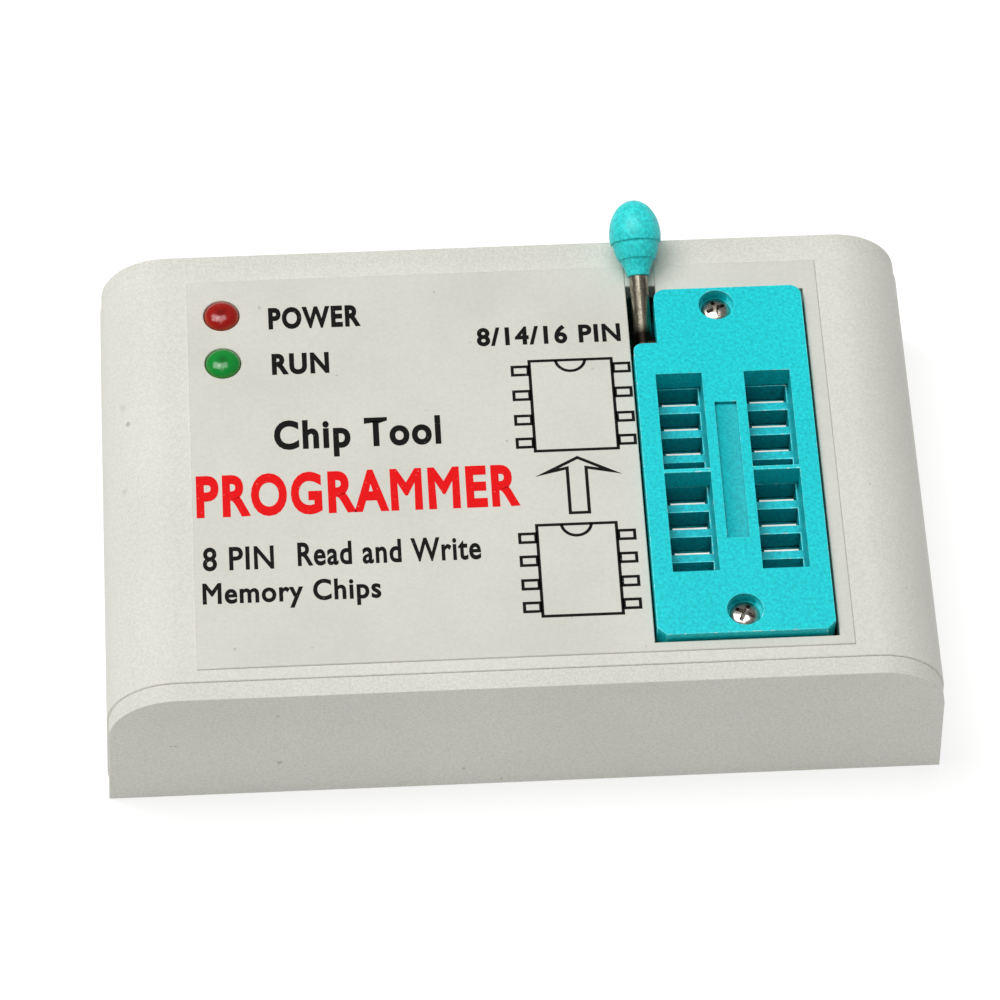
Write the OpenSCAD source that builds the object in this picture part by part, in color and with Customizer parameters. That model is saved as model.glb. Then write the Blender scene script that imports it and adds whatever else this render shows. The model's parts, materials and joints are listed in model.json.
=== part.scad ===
// Bench programmer for small memory chips: a plastic case with a zero-force socket,
// a tilting clamp lever, two status lamps and a USB port, with its board inside.
// Origin: centre of the case's underside. +X runs along the case, +Y towards the USB
// port, +Z up. Millimetres. The lever is drawn in its closed position.

/* [Case] */
// Width of the case at its foot
case_w = 71.5; // [68:0.5:76]
// Depth of the case, front face to rear face
case_d = 45.3; // [44:0.1:50]
// Height of the case to its top face
case_h = 15.8; // [15.4:0.1:17]
// Radius of the two long shoulders
shoulder_r = 6; // [4:0.5:7]
// How much each side leans in between the foot and the shoulder
side_draft = 0.42; // [0:0.02:0.8]
// Wall thickness of the moulded shells
wall_t = 1.8; // [1.4:0.1:2]
// Thickness of the end panels' outer plates
panel_t = 1.7; // [1.4:0.1:2]
// Height of the base plate's edge that shows under the sides
base_edge_h = 1; // [0.8:0.1:1.4]
// How far the end panels stand in from the shell's outline
panel_inset = 0.12; // [0.05:0.01:0.2]

/* [Printed label] */
// Width of the label sheet
label_w = 55.1; // [54:0.1:57]
// Depth of the label sheet
label_d = 39.6; // [39:0.1:40.4]
// Thickness of the label sheet
label_t = 0.12; // [0.08:0.01:0.2]

/* [Circuit board] */
// Underside of the board above the table
pcb_z = 3.6; // [3.4:0.1:3.8]
// Thickness of the board
pcb_t = 1.6; // [1.2:0.2:1.6]

/* [Chip socket] */
// Distance between the two rows of contacts
row_gap = 7.62; // [7.62]
// Distance from one contact to the next
pitch = 2.54; // [2.54]
// Contacts in one row
row_count = 8; // [8]
// Width of the socket over its cover
socket_w = 15; // [14.6:0.1:15]
// Top of the socket's cover above the case's top face
cover_rise = 0.88; // [0.7:0.02:1.1]
// Thickness of the cover
cover_t = 2.27; // [2.2:0.01:2.3]

/* [Clamp lever] */
// Diameter of the lever's steel rod
rod_d = 1.6; // [1.5:0.05:1.65]
// Angle of the closed lever above level
lever_rest = 24; // [24:0.5:26]
// Length of the lever from its shaft to the knob's tip
lever_len = 13.03; // [13:0.01:16]
// Largest diameter of the knob
knob_d = 4.56; // [4.4:0.02:4.6]
// How far the shaft's eccentrics stand off its axis
eccentric = 0.8; // [0.7:0.05:0.8]
// Turn of the lever from closed to open
lever_turn = 68; // [60:1:68]

/* [Lamps] */
// Diameter of a lamp's lens
lamp_d = 3.04; // [2.9:0.02:3.1]
// Height of the lens's dome above the top face
lamp_rise = 0.72; // [0.5:0.02:1]

/* [Hidden] */
$fn = 48;
cut = 1;                                  // how far a cutter runs past its part
fit = 0.1;                                // gap round a part that drops into place

// Case
shell_d = case_d - 2 * panel_t;           // length of the shell between the end panels
lid_under = case_h - wall_t;              // underside of the shell's top
plug_d = 1;                               // depth of the panels' inner plugs
screw_x = 29.6;
screw_y = 16.4;
screw_spots = [for (x = [-1, 1], y = [-1, 1]) [x * screw_x, y * screw_y]];
boss_r = 2.5;
screw_r = 1.05;
screw_hole_r = 1.12;

// Board
pcb_top = pcb_z + pcb_t;
pcb_w = 64;
pcb_d = 39.4;

// Socket: mid line, both rows and the ends
socket_x = 18.48;
row_x = [socket_x - row_gap / 2, socket_x + row_gap / 2];
socket_left = socket_x - socket_w / 2;
socket_right = socket_x + socket_w / 2;
socket_front = -18.68;
socket_back = 16.65;
lever_step_y = 11;                        // where the socket narrows to pass the lever
lever_step_x = 13.08;                     // left side of the narrow part
corner_cut = 0.75;                        // chamfer of the two front corners
corner_r = 1;                             // radius of the two rear corners
step_r = 0.7;                             // radius of the corner beside the lever
contact_y0 = 6;                           // rearmost contact of each row
cover_top = case_h + cover_rise;
cover_under = cover_top - cover_t;
cover_screws = [14.8, -16.45];            // places of the cover's screws along Y
cover_screw_r = 0.8;
cover_head_r = 1.27;

// Windows in the cover: four contacts of one row show through each
window_w = 3.98;
window_back = contact_y0 + 1.7;
window_front = window_back - row_count * pitch + 0.12;
window_bar = 0.4;                         // bar between the two windows of a row
window_mid = contact_y0 - 3.5 * pitch + 0.555;

// Slider: the comb that works the contacts
slider_top = cover_under - fit;
slider_under = slider_top - 2.1;
slider_front = window_front - 0.8;
slider_back = 10.2;
slider_left = socket_left + 0.85;
slider_right = socket_right - 0.85;
slot_w = 3.5;
slot_len = 1.75;
slider_travel = 2 * eccentric * sin(lever_turn / 2);

// Contacts
leaf_w = 2.95;
leaf_t = 0.15;
leaf_top = slider_top - 0.1;
leaf_foot = 7.5;
tail_w = 0.6;
tail_end = 2.3;

// Lever shaft across the socket, with two eccentrics that push the slider's arms
rod_r = rod_d / 2;
run_gap = 0.04;                           // running clearance of the shaft and arms
lever_x = 12.09;
lever_lean = 1.8;                         // degrees, the arm leans away from the socket
shaft_y = 12.2;
shaft_z = 14.45;
shaft_end = 24.4;
arm_x = [socket_x - 3.16, socket_x + 3.16];
arm_w = 1.8;
arm_wall = 0.9;
arm_rise = 1.25;                          // how far the arms stand above the slider
ecc_len = 2.2;
ecc_angle = 90 - lever_turn / 2;          // eccentric's direction when closed, from level
ecc_y = shaft_y + eccentric * cos(ecc_angle);
ecc_z = shaft_z + eccentric * sin(ecc_angle);
pocket_w = 2.4;
pocket_front = ecc_y - rod_r - arm_wall - slider_travel - 0.25;
pocket_back = ecc_y + rod_r + arm_wall + 0.2;

// Knob, measured from its tip
knob_r = knob_d / 2;
knob_dome = 3.1;                          // depth of the rounded top
knob_len = 6.8;

// Openings in the case top
hole_left = 10.76;
hole_right = 26.28;
hole_front = -18.9;
hole_back = 16.8;
lever_slot_right = 13.36;
lever_slot_back = 17.7;

// Lamps
lamp_x = -24.56;
red_y = 16.1;
green_y = 11.08;
lamp_r = lamp_d / 2;
lamp_hole_r = lamp_r + 0.06;
lamp_len = 4.6;                           // straight part of the lens below the top face
lamp_flange_h = 1;
lead_gap = 2.54;
lead_s = 0.5;

// USB port in the rear panel
usb_x = -12;
usb_w = 7.7;
usb_h = 3.9;
usb_len = 9.2;
usb_t = 0.3;
usb_y = case_d / 2;                       // mouth, flush with the rear face
usb_mid_z = pcb_top + usb_h / 2;

// ---- shared shapes ----

// Outline of the case seen from the front, drawn in by inset and down to floor_z
module case_outline(inset = 0, floor_z = 0) {
  foot = case_w / 2 - inset;
  side = foot - side_draft;
  centre_z = case_h - shoulder_r;
  polygon([[-foot, floor_z], [foot, floor_z], [side, centre_z], [-side, centre_z]]);
  for (s = [-1, 1]) translate([s * (side - shoulder_r + inset), centre_z])
    circle(r = shoulder_r - inset, $fn = 96);
  translate([-side + shoulder_r - inset, centre_z - 0.5])
    square([2 * (side - shoulder_r + inset), shoulder_r - inset + 0.5]);
}

// A length of the case outline along Y, from y0 to y1
module case_run(y0, y1, inset = 0, floor_z = 0)
  translate([0, y1, 0]) rotate([90, 0, 0]) linear_extrude(y1 - y0) case_outline(inset, floor_z);

// Box between two corners
module block(a, b) translate(a) cube(b - a);

// Cylinder along X from x0 to x1
module bar_x(x0, x1, y, z, r) translate([x0, y, z]) rotate([0, 90, 0]) cylinder(r = r, h = x1 - x0);

// Upright cylinder from z0 to z1
module post(x, y, r, z0, z1) translate([x, y, z0]) cylinder(r = r, h = z1 - z0);

// Round-headed screw standing on its tip, with a cross recess in the head
module cross_screw(x, y, head_top, head_r, head_h, r, tip) {
  difference() {
    union() {
      post(x, y, head_r, head_top - head_h, head_top);
      post(x, y, r, tip, head_top - head_h);
    }
    for (a = [0, 90]) translate([x, y, head_top]) rotate([0, 0, a + 22])
      cube([head_r * 1.2, head_r * 0.26, head_h], center = true);
  }
}

// Points of an arc round c, turning from angle a to angle b
function arc(c, r, a, b) = [for (i = [0 : 6]) c + r * [cos(a + (b - a) * i / 6), sin(a + (b - a) * i / 6)]];

// Outline of the socket from above, in by inset: wide at the front, narrow beside the lever
module socket_outline(inset = 0) {
  left = socket_left + inset;
  right = socket_right - inset;
  front = socket_front + inset;
  back = socket_back - inset;
  step_x = lever_step_x + inset;
  step_y = lever_step_y - inset;
  polygon(concat([[left + corner_cut, front], [right - corner_cut, front], [right, front + corner_cut]],
                 arc([right - corner_r, back - corner_r], corner_r, 0, 90),
                 arc([step_x + corner_r, back - corner_r], corner_r, 90, 180),
                 [[step_x, step_y]],
                 arc([left + step_r, step_y - step_r], step_r, 90, 180),
                 [[left, front + corner_cut]]));
}

// One child at every contact, at that contact's row and line
module each_contact() for (x = row_x, k = [0 : row_count - 1])
  translate([x, contact_y0 - k * pitch, 0]) children();

// Round groove that the shaft runs in, across the socket
module shaft_groove() bar_x(lever_step_x - cut, shaft_end + 0.2, shaft_y, shaft_z, rod_r + run_gap);

// Rows of flat legs down two facing sides of a chip, reaching out from half_w to reach
module chip_legs(count, leg_pitch, leg_w, half_w, reach) {
  for (s = [-1, 1], k = [0 : count - 1])
    translate([(k - (count - 1) / 2) * leg_pitch - leg_w / 2, 0, 0]) {
      knee = half_w + 0.35;
      block([0, min(s * half_w, s * knee), 0.7], [leg_w, max(s * half_w, s * knee), 0.85]);
      block([0, min(s * (knee - 0.15), s * knee), 0], [leg_w, max(s * (knee - 0.15), s * knee), 0.85]);
      block([0, min(s * knee, s * reach), 0], [leg_w, max(s * knee, s * reach), 0.15]);
    }
}

// ---- case ----

// Tunnel-shaped top of the case with its bosses and openings
module upper_shell() color([0.88, 0.88, 0.85]) difference() {
  union() {
    difference() {
      case_run(-shell_d / 2, shell_d / 2);
      case_run(-shell_d, shell_d, wall_t, -cut);
      block([-case_w, -case_d, -cut], [case_w, case_d, base_edge_h]);
    }
    for (p = screw_spots) post(p[0], p[1], boss_r, pcb_top, lid_under + 0.5);
  }
  for (p = screw_spots) post(p[0], p[1], screw_hole_r, pcb_top - cut, lid_under - 0.6);
  block([hole_left, hole_front, lid_under - cut], [hole_right, hole_back, case_h + cut]);
  block([hole_left, hole_back - cut, lid_under - cut], [lever_slot_right, lever_slot_back, case_h + cut]);
  for (y = [red_y, green_y]) post(lamp_x, y, lamp_hole_r, lid_under - cut, case_h + cut);
}

// Floor of the case: the screws go up through its four pillars
module base_plate() color([0.86, 0.86, 0.83]) difference() {
  union() {
    block([-case_w / 2 + panel_inset, -shell_d / 2 + fit / 2, 0],
          [case_w / 2 - panel_inset, shell_d / 2 - fit / 2, base_edge_h - 0.02]);
    block([-case_w / 2 + wall_t + 0.25, -shell_d / 2 + plug_d + fit, 0],
          [case_w / 2 - wall_t - 0.25, shell_d / 2 - plug_d - fit, wall_t]);
    for (p = screw_spots) post(p[0], p[1], boss_r + 0.6, 0, pcb_z);
  }
  for (p = screw_spots) {
    post(p[0], p[1], screw_r + 0.3, -cut, pcb_z + cut);
    post(p[0], p[1], 2.3, -cut, 1.5);
  }
}

// End panel: an outer plate with the case's outline and a hollow plug that enters the shell
module end_panel() {
  case_run(shell_d / 2, case_d / 2, panel_inset);
  difference() {
    intersection() {
      case_run(shell_d / 2 - plug_d, shell_d / 2, wall_t + fit);
      block([-case_w, 0, wall_t + fit], [case_w, case_d, case_h]);
    }
    case_run(shell_d / 2 - plug_d - cut, shell_d / 2, wall_t + fit + 1.2);
  }
}

// Plain front panel
module front_end_panel() color([0.78, 0.78, 0.75]) mirror([0, 1, 0]) end_panel();

// Rear panel with the cut-out for the USB port
module rear_end_panel() color([0.82, 0.82, 0.79]) difference() {
  end_panel();
  block([usb_x - usb_w / 2 - 0.25, 0, usb_mid_z - usb_h / 2 - 0.25],
        [usb_x + usb_w / 2 + 0.25, case_d, usb_mid_z + usb_h / 2 + 0.25]);
}

// Thin printed sheet on the top face, cut away round the socket and the lamps
module printed_label() color([0.86, 0.85, 0.82]) difference() {
  block([-label_w / 2, -label_d / 2, case_h], [label_w / 2, label_d / 2, case_h + label_t]);
  block([hole_left, hole_front, case_h - cut], [hole_right, hole_back, case_h + cut]);
  block([hole_left, hole_back - cut, case_h - cut], [lever_slot_right, case_d, case_h + cut]);
  for (y = [red_y, green_y]) post(lamp_x, y, lamp_hole_r, case_h - cut, case_h + cut);
}

// Four screws that hold the base, the board and the shell together, heads down
module case_screws() color("silver") for (p = screw_spots)
  mirror([0, 0, 1]) cross_screw(p[0], p[1], -0.25, 2, 1.2, screw_r, -12);

// ---- board and its parts ----

// Board with holes for the screws and every through-hole lead
module circuit_board() color([0.05, 0.35, 0.16]) difference() {
  block([-pcb_w / 2, -pcb_d / 2, pcb_z], [pcb_w / 2, pcb_d / 2, pcb_top]);
  for (p = screw_spots) post(p[0], p[1], screw_r + 0.3, pcb_z - cut, pcb_top + cut);
  each_contact() post(0, 0.04, 0.42, pcb_z - cut, pcb_top + cut, $fn = 16);
  for (y = [red_y, green_y], s = [-1, 1])
    post(lamp_x + s * lead_gap / 2, y, 0.45, pcb_z - cut, pcb_top + cut, $fn = 16);
  for (s = [-1, 1], y = [usb_y - 3.2, usb_y - 7.4])
    post(usb_x + s * (usb_w / 2 - usb_t / 2), y, 0.7, pcb_z - cut, pcb_top + cut, $fn = 16);
}

mcu_at = [-9, -5, pcb_top];
mcu_s = 7;

// Square processor package
module microcontroller() color([0.12, 0.12, 0.13]) translate(mcu_at)
  block([-mcu_s / 2, -mcu_s / 2, 0.15], [mcu_s / 2, mcu_s / 2, 1.5]);

// Its legs on all four sides
module microcontroller_legs() color("silver") translate(mcu_at) for (a = [0, 90])
  rotate([0, 0, a]) chip_legs(12, 0.5, 0.22, mcu_s / 2, mcu_s / 2 + 1);

buffer_at = [2, 3, pcb_top];

// Narrow buffer package beside the socket
module buffer_chip() color([0.12, 0.12, 0.13]) translate(buffer_at)
  block([-4.9, -1.95, 0.15], [4.9, 1.95, 1.6]);

// Its legs on two sides
module buffer_chip_legs() color("silver") translate(buffer_at)
  chip_legs(8, 1.27, 0.42, 1.95, 3);

regulator_at = [-26, -2, pcb_top];

// Regulator package
module voltage_regulator() color([0.12, 0.12, 0.13]) translate(regulator_at)
  block([-3.25, -1.75, 0.15], [3.25, 1.75, 1.7]);

// Three legs and the wide cooling tab
module regulator_legs() color("silver") translate(regulator_at) {
  for (k = [-1, 0, 1]) block([k * 2.3 - 0.35, -3.5, 0], [k * 2.3 + 0.35, -1.75, 0.3]);
  block([-1.5, 1.75, 0], [1.5, 3.5, 0.3]);
}

// Crystal can with its flange
module crystal() color("silver") translate([-9, -13.5, pcb_top]) {
  for (part = [[3.6, 1.2, 0, 3.4], [4.1, 1.6, 0, 0.5]])
    for (s = [-1, 1]) {
      post(s * part[0], 0, part[1], part[2], part[3]);
      block([-part[0], -part[1], part[2]], [part[0], part[1], part[3]]);
    }
}

// Electrolytic can with a rolled groove near its foot
module bulk_capacitor() color([0.78, 0.79, 0.8]) translate([-22, -12, pcb_top + 1.1])
  rotate_extrude() polygon([[0, 0], [2.45, 0], [2.5, 0.05], [2.5, 0.8], [2.3, 1], [2.3, 1.2],
                            [2.5, 1.4], [2.5, 4.9], [2.3, 5.1], [0, 5.1]]);

// Square plastic foot of the capacitor
module capacitor_sleeve_base() color([0.15, 0.15, 0.16]) translate([-22, -12, pcb_top])
  linear_extrude(1.05) polygon([[-2.65, -2.65], [1.9, -2.65], [2.65, -1.9], [2.65, 1.9],
                                [1.9, 2.65], [-2.65, 2.65]]);

// Small ceramic capacitors
module chip_capacitors() color([0.7, 0.58, 0.42])
  for (p = [[-15.5, -5], [-15.5, -8], [-9, 1.5], [-4, 8], [1.5, 8], [-28, 5], [-24, 5], [-9, -17]])
    translate([p[0], p[1], pcb_top]) block([-1, -0.62, 0], [1, 0.62, 0.9]);

// Small resistors
module chip_resistors() color([0.08, 0.08, 0.09])
  for (k = [0 : 7]) translate([-1.5, -12.5 + k * 1.7, pcb_top]) block([-1, -0.5, 0], [1, 0.5, 0.5]);

// ---- USB port ----

// Folded steel shell of the port, open at its mouth, with four feet through the board
module usb_shell() color("silver") {
  difference() {
    block([usb_x - usb_w / 2, usb_y - usb_len, pcb_top], [usb_x + usb_w / 2, usb_y, pcb_top + usb_h]);
    block([usb_x - usb_w / 2 + usb_t, usb_y - usb_len + usb_t, pcb_top + usb_t],
          [usb_x + usb_w / 2 - usb_t, usb_y + cut, pcb_top + usb_h - usb_t]);
  }
  for (s = [-1, 1], y = [usb_y - 3.2, usb_y - 7.4]) {
    x = usb_x + s * (usb_w / 2 - usb_t / 2);
    block([x - usb_t / 2, y - 0.5, pcb_z - 0.5], [x + usb_t / 2, y + 0.5, pcb_top + 0.3]);
  }
}

// Plastic tongue that carries the contacts
module usb_tongue() color([0.1, 0.1, 0.11]) {
  block([usb_x - usb_w / 2 + usb_t, usb_y - usb_len + usb_t, pcb_top + usb_t],
        [usb_x + usb_w / 2 - usb_t, usb_y - usb_len + 2.3, pcb_top + usb_h - usb_t]);
  block([usb_x - 2.35, usb_y - usb_len + 2.3, usb_mid_z - 0.1],
        [usb_x + 2.35, usb_y - 1.2, usb_mid_z + 0.9]);
}

// Five contact strips under the tongue
module usb_contacts() color([0.85, 0.7, 0.35]) for (k = [-2 : 2])
  block([usb_x + k * 0.8 - 0.16, usb_y - usb_len + 2.3, usb_mid_z - 0.28],
        [usb_x + k * 0.8 + 0.16, usb_y - 1.5, usb_mid_z - 0.1]);

// ---- lamps ----

// Lamp lens: flange, straight body and low domed top
module lamp(y) translate([lamp_x, y, 0]) {
  foot = case_h - lamp_len;
  cap_r = (lamp_r * lamp_r + lamp_rise * lamp_rise) / (2 * lamp_rise);
  post(0, 0, lamp_r + 0.4, foot - lamp_flange_h, foot);
  post(0, 0, lamp_r, foot - 0.2, case_h);
  intersection() {
    translate([0, 0, case_h + lamp_rise - cap_r]) sphere(r = cap_r, $fn = 64);
    post(0, 0, lamp_r, case_h - 0.3, case_h + 2);
  }
}

module red_lamp() color([0.66, 0.3, 0.27]) lamp(red_y);

module green_lamp() color([0.33, 0.67, 0.4]) lamp(green_y);

// Two wire leads under each lamp, down through the board
module lamp_leads() color("silver") for (y = [red_y, green_y], s = [-1, 1])
  translate([lamp_x + s * lead_gap / 2, y, 0])
    block([-lead_s / 2, -lead_s / 2, tail_end], [lead_s / 2, lead_s / 2, case_h - lamp_len - lamp_flange_h]);

// ---- chip socket ----

// Body of the socket: contact wells, the slider's tray and the shaft's bearings
module socket_base() color([0.13, 0.72, 0.72]) difference() {
  translate([0, 0, pcb_top]) linear_extrude(cover_under - pcb_top) socket_outline(0.02);
  // tray that the slider runs in
  block([slider_left - fit, slider_front - slider_travel - 0.15, slider_under - fit],
        [slider_right + fit, slider_back + 0.15, cover_under + cut]);
  // pockets for the slider's arms and the shaft's eccentrics
  for (x = arm_x) block([x - pocket_w / 2, pocket_front, slider_under - fit],
                        [x + pocket_w / 2, pocket_back, cover_under + cut]);
  // bearing grooves, open at the top
  shaft_groove();
  block([lever_step_x - cut, shaft_y - rod_r - run_gap, shaft_z],
        [shaft_end + 0.2, shaft_y + rod_r + run_gap, cover_under + cut]);
  // a well and a tail slot for every contact
  each_contact() {
    block([-leaf_w / 2 - 0.12, -0.3, leaf_foot - 0.05], [leaf_w / 2 + 0.12, 1.5, slider_under]);
    block([-tail_w / 2 - 0.02, -0.08, pcb_top - cut], [tail_w / 2 + 0.02, 0.16, leaf_foot]);
  }
  for (y = cover_screws) post(socket_x, y, cover_screw_r + 0.03, 8.5, cover_under + cut);
}

// Comb that slides in the base: each bar works one pair of contacts
module socket_slider() color([0.16, 0.78, 0.78]) {
  difference() {
    block([slider_left, slider_front, slider_under], [slider_right, slider_back, slider_top]);
    each_contact() block([-slot_w / 2, -0.1, slider_under - cut], [slot_w / 2, slot_len - 0.1, slider_top + cut]);
  }
  for (x = arm_x) difference() {
    block([x - arm_w / 2, slider_back - 0.5, slider_under],
          [x + arm_w / 2, ecc_y + rod_r + arm_wall, slider_top + arm_rise]);
    block([x - arm_w, slider_back - cut, slider_top],
          [x + arm_w, ecc_y - rod_r - arm_wall, slider_top + arm_rise + cut]);
    block([x - arm_w, ecc_y - rod_r - run_gap, slider_under + 0.9],
          [x + arm_w, ecc_y + rod_r + run_gap, slider_top + arm_rise + cut]);
  }
}

// Screwed-down cover with four windows and a shallow middle panel
module socket_cover() color([0.2, 0.83, 0.84]) difference() {
  translate([0, 0, cover_under]) linear_extrude(cover_t) socket_outline();
  for (x = row_x) {
    block([x - window_w / 2, window_mid + window_bar / 2, cover_under - cut],
          [x + window_w / 2, window_back, cover_top + cut]);
    block([x - window_w / 2, window_front, cover_under - cut],
          [x + window_w / 2, window_mid - window_bar / 2, cover_top + cut]);
  }
  block([socket_x - 0.95, -9.3, cover_top - 0.35], [socket_x + 0.95, 4.6, cover_top + cut]);
  for (y = cover_screws) {
    post(socket_x, y, 1.53, cover_top - 1.15, cover_top + cut);
    post(socket_x, y, cover_screw_r + 0.1, cover_under - cut, cover_top);
  }
  shaft_groove();
  for (x = arm_x) block([x - pocket_w / 2, pocket_front, cover_under - cut],
                        [x + pocket_w / 2, pocket_back, shaft_z + eccentric + rod_r + 0.06]);
}

// Sixteen sprung contact blades, each with a tail through the board
module socket_contacts() color("silver") each_contact() {
  block([-leaf_w / 2, -0.06, leaf_foot], [leaf_w / 2, leaf_t - 0.06, leaf_top]);
  block([-tail_w / 2, -0.06, tail_end], [tail_w / 2, leaf_t - 0.06, leaf_foot]);
}

// Two screws in the cover's counterbores
module socket_cover_screws() color("silver") for (y = cover_screws)
  cross_screw(socket_x, y, cover_top - 0.5, cover_head_r, 0.65, cover_screw_r, 9);

// ---- clamp lever ----

// Puts children, drawn along +Z from the shaft, at the closed lever's place
module on_lever() translate([lever_x, shaft_y, shaft_z]) rotate([lever_rest - 90, 0, 0])
  rotate([0, -lever_lean, 0]) children();

// Bent steel rod: the lever's arm, its slightly swollen elbow and the shaft with its two eccentrics
module lever_rod() color([0.55, 0.53, 0.5]) {
  on_lever() cylinder(r = rod_r, h = lever_len - 2);
  translate([lever_x, shaft_y, shaft_z]) sphere(r = rod_r + 0.04);
  bar_x(lever_x, arm_x[0] - ecc_len / 2 + 0.15, shaft_y, shaft_z, rod_r);
  bar_x(arm_x[0] + ecc_len / 2 - 0.15, arm_x[1] - ecc_len / 2 + 0.15, shaft_y, shaft_z, rod_r);
  bar_x(arm_x[1] + ecc_len / 2 - 0.15, shaft_end, shaft_y, shaft_z, rod_r);
  for (x = arm_x) bar_x(x - ecc_len / 2, x + ecc_len / 2, ecc_y, ecc_z, rod_r);
}

// Moulded knob: a domed head over a tapering neck, with a blind hole for the rod
module lever_knob() color([0.2, 0.82, 0.82]) on_lever() {
  neck = lever_len - knob_len;
  ring = lever_len - 3.85;
  dome_foot = lever_len - knob_dome;
  dome = [for (a = [0 : 7.5 : 90]) [knob_r * cos(a), dome_foot + knob_dome * sin(a)]];
  rotate_extrude() polygon(concat(
    [[rod_r, neck], [0.95, neck], [1.04, neck + 0.35], [1.46, neck + 1.45], [1.68, neck + 1.6],
     [1.89, neck + 2.3], [2.04, ring - 0.08], [knob_r - 0.09, ring]],
    dome, [[0, lever_len - 2], [rod_r, lever_len - 2]]));
}

upper_shell();
base_plate();
front_end_panel();
rear_end_panel();
printed_label();
case_screws();
circuit_board();
microcontroller();
microcontroller_legs();
buffer_chip();
buffer_chip_legs();
voltage_regulator();
regulator_legs();
crystal();
bulk_capacitor();
capacitor_sleeve_base();
chip_capacitors();
chip_resistors();
usb_shell();
usb_tongue();
usb_contacts();
red_lamp();
green_lamp();
lamp_leads();
socket_base();
socket_slider();
socket_cover();
socket_contacts();
socket_cover_screws();
lever_rod();
lever_knob();
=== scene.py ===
"""Looks of a bench programmer for small memory chips, built round its fixed CAD frame.

Lengths in this file are millimetres unless a name says metres. Pieces are drawn in
millimetres and brought to metres once, when they are finished.
"""

import json
import math

import bmesh
import bpy
from mathutils import Matrix, Vector

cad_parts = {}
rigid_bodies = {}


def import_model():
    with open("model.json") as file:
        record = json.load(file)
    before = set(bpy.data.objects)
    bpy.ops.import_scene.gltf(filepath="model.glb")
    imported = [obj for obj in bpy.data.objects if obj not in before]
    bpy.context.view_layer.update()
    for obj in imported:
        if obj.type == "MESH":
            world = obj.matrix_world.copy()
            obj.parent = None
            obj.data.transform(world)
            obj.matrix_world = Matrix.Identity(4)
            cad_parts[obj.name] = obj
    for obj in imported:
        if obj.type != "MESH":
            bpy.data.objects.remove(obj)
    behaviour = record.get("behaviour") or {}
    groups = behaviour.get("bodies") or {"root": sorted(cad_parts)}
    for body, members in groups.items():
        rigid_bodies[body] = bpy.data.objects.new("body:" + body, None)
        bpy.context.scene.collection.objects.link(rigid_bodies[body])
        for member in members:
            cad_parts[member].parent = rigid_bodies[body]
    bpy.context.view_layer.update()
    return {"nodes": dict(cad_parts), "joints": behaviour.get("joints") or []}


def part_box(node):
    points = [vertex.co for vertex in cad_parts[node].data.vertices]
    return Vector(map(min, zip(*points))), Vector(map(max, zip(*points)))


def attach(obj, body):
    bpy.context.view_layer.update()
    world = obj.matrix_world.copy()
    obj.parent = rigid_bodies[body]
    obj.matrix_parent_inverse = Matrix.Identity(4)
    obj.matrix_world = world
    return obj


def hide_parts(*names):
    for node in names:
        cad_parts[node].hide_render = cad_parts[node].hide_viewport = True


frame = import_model()
nodes = frame["nodes"]
MM = 0.001


def box_mm(node):
    """Lowest and highest corner of a CAD node, in millimetres."""
    low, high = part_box(node)
    return low / MM, high / MM


# ---------------------------------------------------------------- finishes


class Wire:
    """An output socket that can be used in sums and products."""

    def __init__(self, finish, socket):
        self.finish = finish
        self.socket = socket

    def _maths(self, operation, first, second):
        return self.finish.node("ShaderNodeMath", {"operation": operation}, {0: first, 1: second})

    def __add__(self, other):
        return self._maths("ADD", self, other)

    def __sub__(self, other):
        return self._maths("SUBTRACT", self, other)

    def __mul__(self, other):
        return self._maths("MULTIPLY", self, other)

    def __truediv__(self, other):
        return self._maths("DIVIDE", self, other)


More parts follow.
